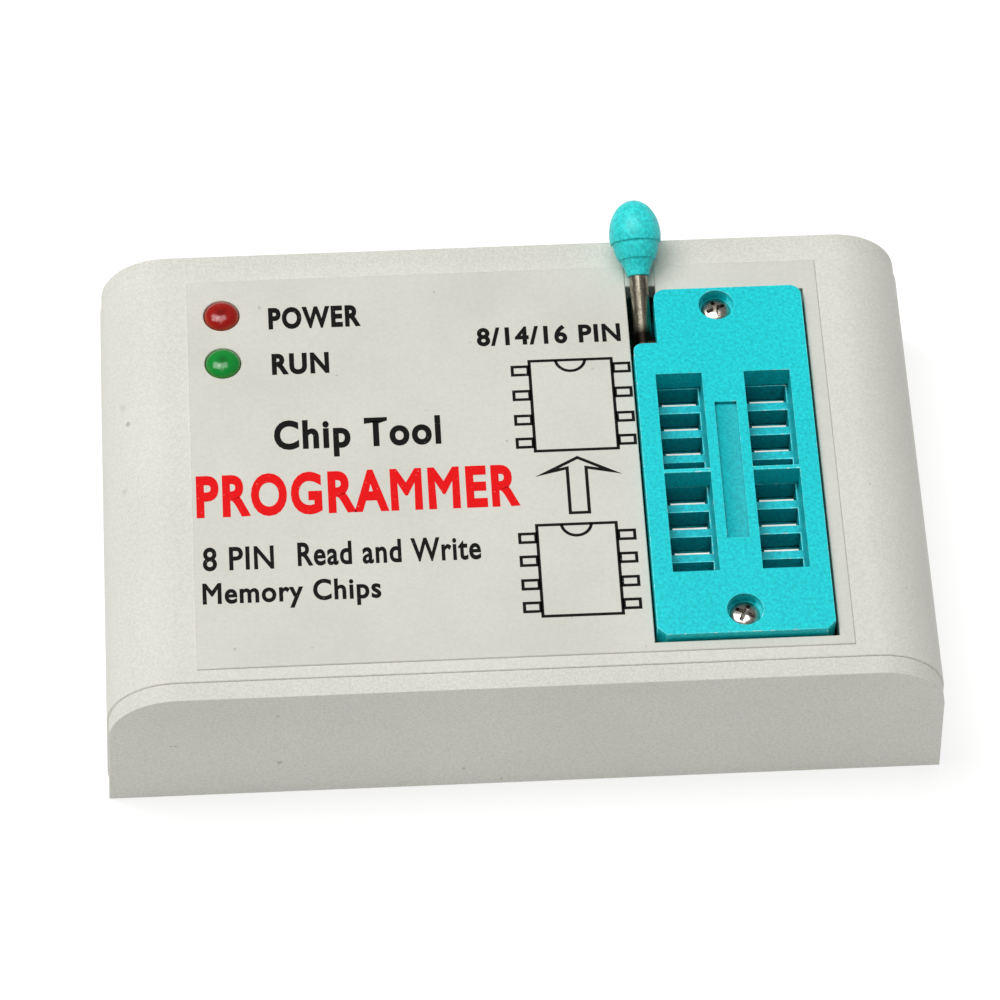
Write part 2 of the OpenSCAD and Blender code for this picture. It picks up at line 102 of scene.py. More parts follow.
class Finish:
    """A material: one Principled shader and the nodes that feed it."""

    def __init__(self, name, **constants):
        self.material = bpy.data.materials.new(name)
        self.material.use_nodes = True
        self.tree = self.material.node_tree
        self.tree.nodes.clear()
        self.shader = self.tree.nodes.new("ShaderNodeBsdfPrincipled")
        output = self.tree.nodes.new("ShaderNodeOutputMaterial")
        self.tree.links.new(self.shader.outputs[0], output.inputs["Surface"])
        for key, value in constants.items():
            self.shader.inputs[key.replace("_", " ")].default_value = value
        coordinates = self.tree.nodes.new("ShaderNodeTexCoord")
        metres = Wire(self, coordinates.outputs["Object"])
        self.place = self.node("ShaderNodeVectorMath", {"operation": "SCALE"},
                               {0: metres, "Scale": 1 / MM})

    def node(self, kind, settings=None, inputs=None, output=0):
        """Add a node: its settings first, then the values or wires of its inputs."""
        node = self.tree.nodes.new(kind)
        for key, value in (settings or {}).items():
            if key == "stops":
                self._set_stops(node, value)
            else:
                setattr(node, key, value)
        for key, value in (inputs or {}).items():
            if isinstance(value, Wire):
                self.tree.links.new(value.socket, node.inputs[key])
            else:
                node.inputs[key].default_value = value
        return Wire(self, node.outputs[output])

    @staticmethod
    def _set_stops(node, stops):
        ramp = node.color_ramp
        while len(ramp.elements) > 1:
            ramp.elements.remove(ramp.elements[-1])
        for i, (position, value) in enumerate(stops):
            element = ramp.elements[0] if i == 0 else ramp.elements.new(position)
            element.position = position
            element.color = value if len(value) == 4 else (*value, 1)

    def feed(self, **wires):
        """Wire values that change over the surface into the shader."""
        for key, wire in wires.items():
            self.tree.links.new(wire.socket, self.shader.inputs[key.replace("_", " ")])
        return self.material

    def noise(self, scale, detail=2.0, roughness=0.5, place=None):
        """Cloudy value round 0.5; scale counts per millimetre."""
        return self.node("ShaderNodeTexNoise", {}, {
            "Vector": place or self.place, "Scale": scale, "Detail": detail, "Roughness": roughness})

    def cells(self, scale):
        """Distance to the nearest of scattered points, as pores in a moulded grain."""
        return self.node("ShaderNodeTexVoronoi", {"feature": "F1"},
                         {"Vector": self.place, "Scale": scale}, "Distance")

    def stretched(self, x, y, z):
        """The place on the piece with its three axes stretched."""
        return self.node("ShaderNodeVectorMath", {"operation": "MULTIPLY"},
                         {0: self.place, 1: (x, y, z)})

    def axis(self, name):
        """One coordinate of the place on the piece."""
        return self.node("ShaderNodeSeparateXYZ", {}, {0: self.place}, name)

    def ramp(self, value, *stops):
        """Colour from a value by stops of (position, colour)."""
        return self.node("ShaderNodeValToRGB", {"stops": stops}, {"Fac": value})

    def span(self, value, low, high, to_low=0.0, to_high=1.0):
        """Map low..high to to_low..to_high, held at both ends."""
        return self.node("ShaderNodeMapRange", {"clamp": True}, {
            "Value": value, "From Min": low, "From Max": high, "To Min": to_low, "To Max": to_high})

    def mix(self, factor, first, second, blend="MIX"):
        """Blend of two colours."""
        return self.node("ShaderNodeMix", {"data_type": "RGBA", "blend_type": blend},
                         {0: factor, 6: first, 7: second}, 2)

    def grey(self, value):
        """A grey of the value, for a multiplied speckle."""
        return self.node("ShaderNodeCombineColor", {}, {0: value, 1: value, 2: value})

    def bump(self, height, distance, strength):
        """Bump from a height value; distance is the relief in millimetres."""
        return self.node("ShaderNodeBump", {}, {
            "Height": height, "Distance": distance * MM, "Strength": strength})

    def shade(self, reach):
        """How open the surface is, 0 in a tight corner to 1 in the open."""
        return self.node("ShaderNodeAmbientOcclusion", {"samples": 8}, {"Distance": reach * MM}, "AO")


def rgb(r, g, b):
    """A display colour of 0 to 255 as the linear colour that a shader takes."""
    return (*[((c / 255 + 0.055) / 1.055) ** 2.4 if c > 10 else c / 3294.6 for c in (r, g, b)], 1)


def spark_plastic(name, pale, deep, grain=1.0, sinks=()):
    """Pale ABS with a fine spark-eroded grain, faint clouding, painted shade in corners and small dents at
    sinks, each painted a little darker as shade.
    """
    f = Finish(name, Roughness=0.5, Specular_IOR_Level=0.4)
    fine = f.noise(4.6, 2, 0.55)
    coarse = f.noise(1.5, 2, 0.55)
    cloud = f.noise(0.055, 3, 0.5)
    pores = f.cells(3.2)
    tone = f.mix(f.span(cloud, 0.35, 0.65), pale, deep)
    speckle = f.span(fine * 0.88 + coarse * 0.12, 0.36, 0.64, 1 - 0.075 * grain, 1 + 0.075 * grain)
    tone = f.mix(1.0, tone, f.grey(speckle), "MULTIPLY")
    # painted shade: the surface darkens towards a beige grey in tight corners and seams, where light reaches
    # less
    painted_corner_shade = f.span(f.shade(0.3), 0.2, 0.7, 0.3, 0.0)
    tone = f.mix(painted_corner_shade, tone, rgb(112, 108, 96))
    fleck = f.span(f.noise(0.9, 1, 0.4), 0.79, 0.805) * 0.4
    tone = f.mix(fleck, tone, rgb(120, 116, 104))
    height = fine * 0.6 + coarse * 0.1 + f.span(pores, 0.0, 0.5) * 0.3
    for sink in sinks:
        away = f.node("ShaderNodeVectorMath", {"operation": "DISTANCE"}, {0: f.place, 1: sink}, "Value")
        dent = f.span(away, 0.22, 0.5, 1, 0)
        height = height - dent * 2.2
        # painted shade: each dent is also painted a little darker inside
        tone = f.mix(dent * 0.25, tone, rgb(160, 158, 148))
    rough = f.span(fine, 0.3, 0.7, 0.46, 0.6)
    return f.feed(Base_Color=tone, Roughness=rough, Normal=f.bump(height, 0.028 * grain, 0.55))


def label_film():
    """Satin polyester sheet, a little duller than the case, with a soft haze of scuffs and painted shade in
    its corners.
    """
    f = Finish("label_film", Roughness=0.42, Specular_IOR_Level=0.4)
    fine = f.noise(3.8, 3, 0.6)
    cloud = f.noise(0.09, 3, 0.55)
    scuff = f.noise(0.6, 4, 0.7, f.stretched(1, 0.22, 1))
    tone = f.mix(f.span(cloud, 0.35, 0.65), LABEL_PALE, LABEL_DEEP)
    spots = f.span(f.noise(1.15, 1, 0.4), 0.8, 0.815) * 0.35
    tone = f.mix(spots, tone, rgb(122, 120, 108))
    tone = f.mix(f.span(fine, 0.36, 0.64, 0.0, 0.16), tone, rgb(178, 176, 164))
    # painted shade: the sheet darkens a little in tight corners, where light reaches less
    painted_corner_shade = f.span(f.shade(0.3), 0.2, 0.7, 0.1, 0.0)
    tone = f.mix(painted_corner_shade, tone, rgb(150, 146, 134))
    rough = f.span(scuff, 0.3, 0.7, 0.38, 0.52)
    return f.feed(Base_Color=tone, Roughness=rough, Normal=f.bump(fine * 0.7 + scuff * 0.3, 0.01, 0.5))


def ink(name, colour, worn):
    """Screen-printed ink with pinholes and a slightly uneven film."""
    f = Finish(name, Roughness=0.6, Specular_IOR_Level=0.1)
    film = f.noise(6.0, 3, 0.6)
    pinholes = f.span(f.noise(4.2, 2, 0.5), 0.70, 0.74)
    tone = f.mix(f.span(film, 0.35, 0.7), colour, worn)
    tone = f.mix(pinholes * 0.35, tone, LABEL_DEEP)
    return f.feed(Base_Color=tone, Roughness=f.span(film, 0.3, 0.7, 0.42, 0.6),
                  Normal=f.bump(film, 0.006, 0.5))


def teal_plastic(name, pale, deep, shade_reach=None, wear=0.0, grain=1.0):
    """Moulded thermoplastic of the socket: mottled teal, darker where light can't reach."""
    f = Finish(name, Roughness=0.42, Specular_IOR_Level=0.3)
    fine = f.noise(3.6, 3, 0.65)
    mottle = f.noise(1.6, 4, 0.6)
    flow = f.noise(0.22, 2, 0.5, f.stretched(1, 0.4, 1))
    tone = f.mix(f.span(mottle * 0.6 + flow * 0.4, 0.38, 0.62), pale, deep)
    speckle = f.span(fine, 0.34, 0.66, 1 - 0.2 * grain, 1 + 0.2 * grain)
    tone = f.mix(1.0, tone, f.grey(speckle), "MULTIPLY")
    if wear:
        chips = f.span(f.noise(1.9, 4, 0.7), 0.565, 0.64)
        tone = f.mix(chips * min(1.0, wear), tone, rgb(214, 240, 236))
    if shade_reach:
        hidden = f.span(f.shade(shade_reach), 0.14, 0.72, 1.0, 0.0)
        tone = f.mix(hidden, tone, rgb(2, 40, 48))
    rough = f.span(fine, 0.3, 0.7, 0.36, 0.52)
    return f.feed(Base_Color=tone, Roughness=rough, Normal=f.bump(fine * 0.6 + mottle * 0.4, 0.02, 0.5))


def metal(name, pale, deep, rough=(0.2, 0.38), stretch=(1, 1, 1), tarnish_and_shade=None, scale=3.0, relief=0.006,
          painted_shade_y=None):
    """Metal with fine drawing marks, faint tarnish, painted shade in its hollows and, between two places
    along y, painted shade that ends.
    """
    f = Finish(name, Metallic=1.0)
    marks = f.noise(scale, 4, 0.65, f.stretched(*stretch))
    tarnish = f.noise(0.8, 3, 0.6)
    tone = f.mix(f.span(marks, 0.3, 0.7), pale, deep)
    if tarnish_and_shade:
        tone = f.mix(f.span(tarnish, 0.5, 0.72, 0.0, 0.75), tone, tarnish_and_shade)
        # painted shade: the metal darkens to the same colour in hollows and tight corners, where light
        # reaches less
        tone = f.mix(f.span(f.shade(0.35), 0.2, 0.8, 0.7, 0.0), tone, tarnish_and_shade)
    # painted shade: below the first place along y the metal is painted dark, fading out by the second
    if painted_shade_y:
        tone = f.mix(f.span(f.axis("Y"), *painted_shade_y, 1.0, 0.0), tone, rgb(38, 34, 28))
    return f.feed(Base_Color=tone, Roughness=f.span(marks * 0.6 + tarnish * 0.4, 0.3, 0.7, *rough),
                  Normal=f.bump(marks, relief, 0.6))


def lamp_lens(name, centre_y, heart, body, rim):
    """Tinted lens of a lamp: deep in the middle, lighter where the rim lets light through."""
    f = Finish(name, Roughness=0.16, Specular_IOR_Level=0.3, Coat_Weight=0.35, Coat_Roughness=0.09)
    flat = f.stretched(1, 1, 0)
    away = f.node("ShaderNodeVectorMath", {"operation": "DISTANCE"},
                  {0: flat, 1: (LAMP_X, centre_y, 0)}, "Value")
    swirl = f.noise(1.1, 3, 0.6)
    reach = away + (swirl - 0.5) * 0.5
    tone = f.ramp(reach / 1.6, (0.0, heart), (0.42, body), (0.8, body), (0.97, rim))
    streak = f.span(f.noise(2.4, 2, 0.5, f.stretched(1, 0.5, 1)), 0.55, 0.75) * 0.25
    tone = f.mix(streak, tone, rim)
    return f.feed(Base_Color=tone, Roughness=f.span(swirl, 0.3, 0.7, 0.13, 0.24),
                  Normal=f.bump(swirl, 0.01, 0.4))


def moulded(name, pale, deep, rough=(0.4, 0.6)):
    """Small dark or coloured moulding with a fine matt grain."""
    f = Finish(name)
    grain = f.noise(9.0, 3, 0.6)
    patch = f.noise(0.9, 2, 0.5)
    tone = f.mix(f.span(grain * 0.6 + patch * 0.4, 0.35, 0.65), pale, deep)
    return f.feed(Base_Color=tone, Roughness=f.span(grain, 0.3, 0.7, *rough),
                  Normal=f.bump(grain, 0.015, 0.5))


def board_mask():
    """Green solder mask with the lighter lines of the copper under it."""
    f = Finish("board_mask", Roughness=0.3, Coat_Weight=0.4, Coat_Roughness=0.1)
    tracks = f.node("ShaderNodeTexBrick", {"offset": 0.5}, {
        "Vector": f.place, "Scale": 0.42, "Mortar Size": 0.045, "Brick Width": 1.7, "Row Height": 0.32,
        "Mortar Smooth": 0.2}, "Fac")
    warp = f.noise(4.0, 2, 0.5, f.stretched(1, 0.2, 1))
    weft = f.noise(4.0, 2, 0.5, f.stretched(0.2, 1, 1))
    weave = warp * 0.5 + weft * 0.5
    tone = f.mix(tracks * 0.8, rgb(24, 96, 52), rgb(58, 150, 84))
    tone = f.mix(f.span(weave, 0.42, 0.6, 0, 0.35), tone, rgb(14, 62, 34))
    return f.feed(Base_Color=tone, Roughness=f.span(weave, 0.3, 0.7, 0.24, 0.4),
                  Normal=f.bump(tracks * 0.7 + weave * 0.3, 0.03, 0.6))


LAMP_X = (box_mm("red_lamp")[0].x + box_mm("red_lamp")[1].x) / 2
RED_Y = (box_mm("red_lamp")[0].y + box_mm("red_lamp")[1].y) / 2
GREEN_Y = (box_mm("green_lamp")[0].y + box_mm("green_lamp")[1].y) / 2

LABEL_PALE = rgb(218, 217, 208)
LABEL_DEEP = rgb(211, 210, 200)

shell_plastic = spark_plastic("shell_plastic", rgb(221, 220, 211), rgb(216, 215, 206),
                              0.8, sinks=((-33.45, 7.9, 14.4), (-33.5, -0.8, 14.4)))
panel_plastic = spark_plastic("panel_plastic", rgb(219, 218, 209), rgb(213, 212, 203), 1.1)
film = label_film()
black_ink = ink("black_ink", rgb(9, 10, 9), rgb(20, 20, 19))
red_ink = ink("red_ink", rgb(228, 6, 11), rgb(236, 20, 22))
cover_teal = teal_plastic("cover_teal", rgb(8, 212, 219), rgb(4, 204, 212), grain=0.9)
# pale teal for rounded edges: a painted highlight along every edge, with whitish wear chips on it
edge_highlight_and_wear = teal_plastic("edge_highlight_and_wear", rgb(96, 232, 235), rgb(58, 224, 229), wear=0.9)
recess_teal = teal_plastic("recess_teal", rgb(6, 186, 194), rgb(3, 176, 186), shade_reach=0.5, grain=0.8)
deep_teal = teal_plastic("deep_teal", rgb(14, 196, 206), rgb(8, 184, 196), shade_reach=1.3)
knob_teal = teal_plastic("knob_teal", rgb(58, 226, 226), rgb(34, 208, 209), grain=1.1)
# the rod is painted dark near its shaft, where it runs down into the socket: painted shade
rod_steel = metal("rod_steel", rgb(182, 176, 160), rgb(112, 104, 88), (0.2, 0.34), (1.6, 0.5, 0.5),
                  rgb(72, 64, 50), painted_shade_y=(12.9, 13.7))
# screw heads darken to this colour in their cross recesses: painted shade, besides tarnish
screw_steel = metal("screw_steel", rgb(206, 203, 196), rgb(150, 144, 134), (0.14, 0.34),
                    (1, 1, 1), rgb(78, 66, 54), 4.0, 0.012)
tin = metal("tin", rgb(250, 250, 247), rgb(222, 222, 217), (0.32, 0.5), (1, 1, 0.2))
can_steel = metal("can_steel", rgb(205, 205, 203), rgb(172, 172, 170), (0.2, 0.34), (0.3, 1, 1))
gold = metal("gold_flash", rgb(226, 186, 104), rgb(198, 152, 70), (0.2, 0.34), (1, 0.3, 1))
red_lens = lamp_lens("red_lens", RED_Y, rgb(120, 8, 6), rgb(158, 16, 10), rgb(178, 74, 40))
green_lens = lamp_lens("green_lens", GREEN_Y, rgb(6, 104, 34), rgb(8, 138, 50), rgb(70, 150, 60))
epoxy = moulded("chip_epoxy", rgb(44, 44, 46), rgb(32, 32, 34))
black_nylon = moulded("black_nylon", rgb(38, 38, 40), rgb(26, 26, 28), (0.3, 0.5))
ceramic = moulded("fired_ceramic", rgb(186, 156, 112), rgb(168, 136, 92))
board = board_mask()

# ---------------------------------------------------------------- making pieces


def finish_mesh(name, bm, finishes, body, stands_for=(), sharp=32.0):
    """Bring a bmesh in millimetres to metres, shade it and ride it on its body."""
    bmesh.ops.scale(bm, vec=(MM, MM, MM), verts=bm.verts)
    mesh = bpy.data.meshes.new(name)
    for face in bm.faces:
        face.smooth = True
    bm.to_mesh(mesh)
    bm.free()
    mesh.set_sharp_from_angle(angle=math.radians(sharp))
    for finish in finishes:
        mesh.materials.append(finish)
    thing = bpy.data.objects.new(name, mesh)
    bpy.context.scene.collection.objects.link(thing)
    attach(thing, body)
    if stands_for:
        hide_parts(*stands_for)
    return thing


def merged_copy(node, cuts=()):
    """A CAD node's mesh in millimetres, with its loose triangles joined into faces.

    Each cut, an axis and a place on it, runs through openings, so that no face encloses one.
    """
    bm = bmesh.new()
    bm.from_mesh(nodes[node].data)
    bmesh.ops.scale(bm, vec=(1 / MM,) * 3, verts=bm.verts)
    bmesh.ops.remove_doubles(bm, verts=bm.verts, dist=0.002)
    bmesh.ops.dissolve_degenerate(bm, edges=bm.edges, dist=0.001)
    for axis, place in cuts:
        normal = Vector([float(axis == name) for name in "xyz"])
        everything = bm.verts[:] + bm.edges[:] + bm.faces[:]
        cut = bmesh.ops.bisect_plane(bm, geom=everything, dist=0.0005, plane_co=normal * place,
                                     plane_no=normal)
        for piece in cut["geom_cut"]:
            if isinstance(piece, bmesh.types.BMEdge):
                piece.seam = True
    bmesh.ops.dissolve_limit(bm, angle_limit=math.radians(0.6), verts=bm.verts, edges=bm.edges,
                             delimit={"SEAM"})
    return bm


def softened(name, node, finishes, body, width_at, segments=3, worn=False, finish_at=None, cuts=()):
    """A copy of a CAD node whose sharp outer edges are rounded by width_at(middle, edge).

    The rounding of a worn piece takes the last finish, here a painted highlight with wear on it;
    finish_at(middle) picks that of each face.
    """
    bm = merged_copy(node, cuts)
    if finish_at:
        for face in bm.faces:
            face.material_index = finish_at(face.calc_center_median())
    weight = bm.edges.layers.float.new("bevel_weight_edge")
    widths = {}
    for edge in bm.edges:
        if len(edge.link_faces) == 2 and edge.calc_face_angle_signed(0) > math.radians(28):
            widths[edge] = width_at((edge.verts[0].co + edge.verts[1].co) / 2, edge)
    widest = max(widths.values())
    for edge, width in widths.items():
        edge[weight] = width / widest
    thing = finish_mesh(name, bm, finishes, body, (node,))
    rounding = thing.modifiers.new("rounded_edges", "BEVEL")
    rounding.width = widest * MM
    rounding.segments = segments
    rounding.limit_method = "WEIGHT"
    rounding.use_clamp_overlap = True
    rounding.miter_outer = "MITER_ARC"
    if worn:
        rounding.material = len(finishes) - 1
    level = thing.modifiers.new("level_faces", "WEIGHTED_NORMAL")
    level.weight = 100
    level.keep_sharp = True
    return thing


def turned(bm, profile, centre, steps=48):
    """Spin a profile of (radius, height) pairs about an upright axis through centre."""
    first = [bm.verts.new((centre[0] + r, centre[1], centre[2] + z)) for r, z in profile]
    edges = [bm.edges.new(pair) for pair in zip(first, first[1:])]
    bmesh.ops.spin(bm, geom=first + edges, cent=centre, axis=(0, 0, 1), angle=2 * math.pi,
                   steps=steps, use_merge=True)
    bmesh.ops.remove_doubles(bm, verts=bm.verts, dist=0.0005)
    bmesh.ops.recalc_face_normals(bm, faces=bm.faces)


def curve_through(points, cuts=6):
    """A smooth line through the points of a profile."""
    spots = []
    padded = [points[0], *points, points[-1]]
    for a, b, c, d in zip(padded, padded[1:], padded[2:], padded[3:]):
        for i in range(cuts):
            t = i / cuts
            spots.append(tuple(
                0.5 * (2 * q + (r - p) * t + (2 * p - 5 * q + 4 * r - s) * t * t
                       + (3 * q - p - 3 * r + s) * t ** 3) for p, q, r, s in zip(a, b, c, d)))
    return spots + [points[-1]]


# ---------------------------------------------------------------- case

CASE_LOW, CASE_HIGH = box_mm("upper_shell")
FRONT_Y, REAR_Y = box_mm("front_end_panel")[0].y, box_mm("rear_end_panel")[1].y
LABEL_TOP = box_mm("printed_label")[1].z


def shell_edge(middle, edge):
    """Rounding of the tunnel-shaped top: its end rims, foot and openings."""
    if abs(abs(middle.y) - CASE_HIGH.y) < 0.02 or middle.z > CASE_HIGH.z - 0.02:
        return 0.12
    return 0.15 if middle.z < CASE_LOW.z + 0.02 else 0.05


def panel_edge(middle, edge):
    """Rounding of an end panel: soft all round its outer face, tight at the seam."""
    outer = max(abs(FRONT_Y), REAR_Y)
    if abs(abs(middle.y) - outer) < 0.02:
        if middle.z < 0.05 or edge_in_port(middle):
            return 0.12
        return 0.42 if abs(edge.verts[0].co.z - edge.verts[1].co.z) > 2 else 0.22
    return 0.09 if abs(abs(middle.y) - CASE_HIGH.y) < 0.02 else 0.06


def edge_in_port(middle):
    """Whether a place is on the rim of the port's mouth."""
    low, high = box_mm("usb_shell")
    return low.x - 0.5 < middle.x < high.x + 0.5 and low.z - 0.5 < middle.z < high.z + 0.5


LEVER_SLOT_X = 12.3
SOCKET_HOLE_X = 18.5
SCREW_X, SCREW_Y = 29.6, 16.4       # the case's four screws stand at + and - these
PORT_X = (box_mm("usb_shell")[0].x + box_mm("usb_shell")[1].x) / 2
TOP_CUTS = (("x", LAMP_X), ("x", LEVER_SLOT_X), ("x", SOCKET_HOLE_X))

softened("case_top", "upper_shell", [shell_plastic], "root", shell_edge, cuts=TOP_CUTS)
softened("case_floor", "base_plate", [shell_plastic], "root", lambda m, e: 0.15,
         cuts=(("x", -SCREW_X), ("x", SCREW_X), ("y", -SCREW_Y), ("y", SCREW_Y)))
softened("front_panel", "front_end_panel", [panel_plastic], "root", panel_edge, 4)
softened("rear_panel", "rear_end_panel", [panel_plastic], "root", panel_edge, 4,
         cuts=(("x", PORT_X),))
softened("label_sheet", "printed_label", [film], "root",
         lambda m, e: 0.09 if m.z > LABEL_TOP - 0.01 else 0.005, 2, cuts=TOP_CUTS)

# ---------------------------------------------------------------- print on the label

INK_Z = LABEL_TOP + 0.002
INK_T = 0.014


def ink_outline(bm, points, width=0.28):
    """A closed printed line of one width, drawn inside the points."""
    face = bm.faces.new([bm.verts.new((x, y, INK_Z)) for x, y in points])
    face.normal_update()
    bmesh.ops.inset_individual(bm, faces=[face], thickness=width, use_even_offset=True)
    bmesh.ops.delete(bm, geom=[face], context="FACES_ONLY")


def thicken_ink(bm):
    """Give flat print its thin film."""
    bmesh.ops.recalc_face_normals(bm, faces=bm.faces)
    for face in bm.faces:
        if face.normal.z > 0:
            face.normal_flip()
    grown = bmesh.ops.extrude_face_region(bm, geom=list(bm.faces), use_keep_orig=True)
    top = [g for g in grown["geom"] if isinstance(g, bmesh.types.BMVert)]
    bmesh.ops.translate(bm, vec=(0, 0, INK_T), verts=top)
    bmesh.ops.recalc_face_normals(bm, faces=bm.faces)


def chip_drawing(bm, left, right, front, back, pin_ys, pin_w=1.5, pin_h=1.12):
    """Outline of a chip seen from above: body, notch at its rear edge and four pins a side."""
    w = 0.27
    ink_outline(bm, [(left, front), (right, front), (right, back), (left, back)], w)
    middle = (left + right) / 2
    r = 1.42
    half = [(middle + r * math.cos(math.radians(a)), back + r * math.sin(math.radians(a)))
            for a in range(180, 361, 12)]
    inner = [(middle + (r - w) * math.cos(math.radians(a)), back + (r - w) * math.sin(math.radians(a)))
             for a in range(180, 361, 12)]
    rows = [[bm.verts.new((x, min(y, back - w / 2), INK_Z)) for x, y in row] for row in (half, inner)]
    for a, b, c, d in zip(rows[0], rows[0][1:], rows[1][1:], rows[1]):
        bm.faces.new((a, b, c, d))
    for y in pin_ys:
        for x0, x1 in ((left - pin_w, left + w / 2), (right - w / 2, right + pin_w)):
            ink_outline(bm, [(x0, y - pin_h / 2), (x1, y - pin_h / 2),
                             (x1, y + pin_h / 2), (x0, y + pin_h / 2)], w)


def embolden(flat, weight):
    """Move the rim of flat letters outwards by weight, so that their strokes grow bolder."""
    moves = {}
    for vert in flat.verts:
        rims = [e for e in vert.link_edges if e.is_boundary]
        if len(rims) != 2:
            continue
        outward = []
        for edge in rims:
            along = (edge.other_vert(vert).co - vert.co).normalized()
            side = Vector((along.y, -along.x, 0))
            inside = edge.link_faces[0].calc_center_median() - vert.co
            outward.append(-side if side.dot(inside) > 0 else side)
        between = outward[0] + outward[1]
        if between.length > 0.2:
            between.normalize()
            moves[vert] = between * min(weight / max(between.dot(outward[0]), 0.1), 1.8 * weight)
    for vert, move in moves.items():
        vert.co += move


def letters(name, finish, words):
    """Printed words as one piece: each is (text, left, right, foot, capital height, weight)."""
    whole = bmesh.new()
    for text, left, right, foot, capital, weight in words:
        data = bpy.data.curves.new(name + "_type", "FONT")
        data.body = text
        data.size = 1.0
        data.resolution_u = 5
        data.fill_mode = "FRONT"
        data.space_character = 1 + 3.6 * weight     # room for the bolder strokes
        type_object = bpy.data.objects.new(name + "_type", data)
        bpy.context.scene.collection.objects.link(type_object)
        bpy.context.view_layer.update()
        flat = bpy.data.meshes.new_from_object(type_object)
        bpy.data.objects.remove(type_object)
        glyphs = bmesh.new()
        glyphs.from_mesh(flat)
        bmesh.ops.remove_doubles(glyphs, verts=glyphs.verts, dist=0.006)
        embolden(glyphs, weight)
        glyphs.to_mesh(flat)
        glyphs.free()
        xs = [v.co.x for v in flat.vertices]
        top = max(v.co.y for v in flat.vertices)
        stretch_x = (right - left) / (max(xs) - min(xs))
        stretch_y = capital / (top + weight)
        place = (Matrix.Translation((left, foot, INK_Z))
                 @ Matrix.Diagonal((stretch_x, stretch_y, 1, 1))
                 @ Matrix.Translation((-min(xs), weight, 0)))
        flat.transform(place)
        whole.from_mesh(flat)
        bpy.data.meshes.remove(flat)
    bmesh.ops.remove_doubles(whole, verts=whole.verts, dist=0.0008)
    thicken_ink(whole)
    return finish_mesh(name, whole, [finish], "root", sharp=50)


letters("lamp_words", black_ink, [
    ("POWER", -20.5, -12.5, 14.45, 2.3, 0.045),
    ("RUN", -20.35, -15.4, 9.65, 2.2, 0.045)])
letters("small_title", black_ink, [("Chip Tool", -20.4, -6.1, 1.85, 3.0, 0.034)])
letters("red_title", red_ink, [("PROGRAMMER", -27.2, 0.3, -4.8, 4.3, 0.04)])
letters("title_lines", black_ink, [
    ("8 PIN", -26.8, -20.8, -10.15, 2.35, 0.02),
    ("Read and Write", -18.8, -3.3, -10.0, 2.35, 0.024),
    ("Memory Chips", -26.9, -11.9, -13.45, 2.1, 0.026)])
letters("pin_words", black_ink, [("8/14/16 PIN", -2.5, 10.0, 11.85, 1.95, 0.036)])

drawing = bmesh.new()
chip_drawing(drawing, 1.75, 9.15, 0.57, 10.2, (9.09, 6.52, 3.96, 1.58))
chip_drawing(drawing, 1.4, 8.43, -16.07, -6.71, (-8.1, -10.4, -12.75, -15.0))
ink_outline(drawing, [(5.42, 0.06), (1.7, -1.92), (4.35, -1.3), (4.35, -5.85), (6.25, -5.85),
                      (6.25, -1.3), (9.15, -1.92)])
thicken_ink(drawing)
finish_mesh("chip_drawings", drawing, [black_ink], "root", sharp=50)

# ---------------------------------------------------------------- lamps


def lamp(name, node, finish):
    """Lens with a low dome, a straight body and the flange that holds it under the case top."""
    low, high = box_mm(node)
    centre = ((low.x + high.x) / 2, (low.y + high.y) / 2, 0)
    flange = (high.x - low.x) / 2
    radius = flange - 0.4
    shoulder = high.z - 0.72
    dome = [(radius * math.sin(math.radians(a)), shoulder - 0.1 + 0.82 * math.cos(math.radians(a)))
            for a in range(0, 91, 9)]
    profile = dome + [(radius, low.z + 1), (flange - 0.06, low.z + 1), (flange, low.z + 0.94),
                      (flange, low.z + 0.06), (flange - 0.06, low.z), (0, low.z)]
    bm = bmesh.new()
    turned(bm, profile, centre, 56)
    finish_mesh(name, bm, [finish], "root", (node,), 40)


lamp("power_lamp", "red_lamp", red_lens)
lamp("run_lamp", "green_lamp", green_lens)

# ---------------------------------------------------------------- screws


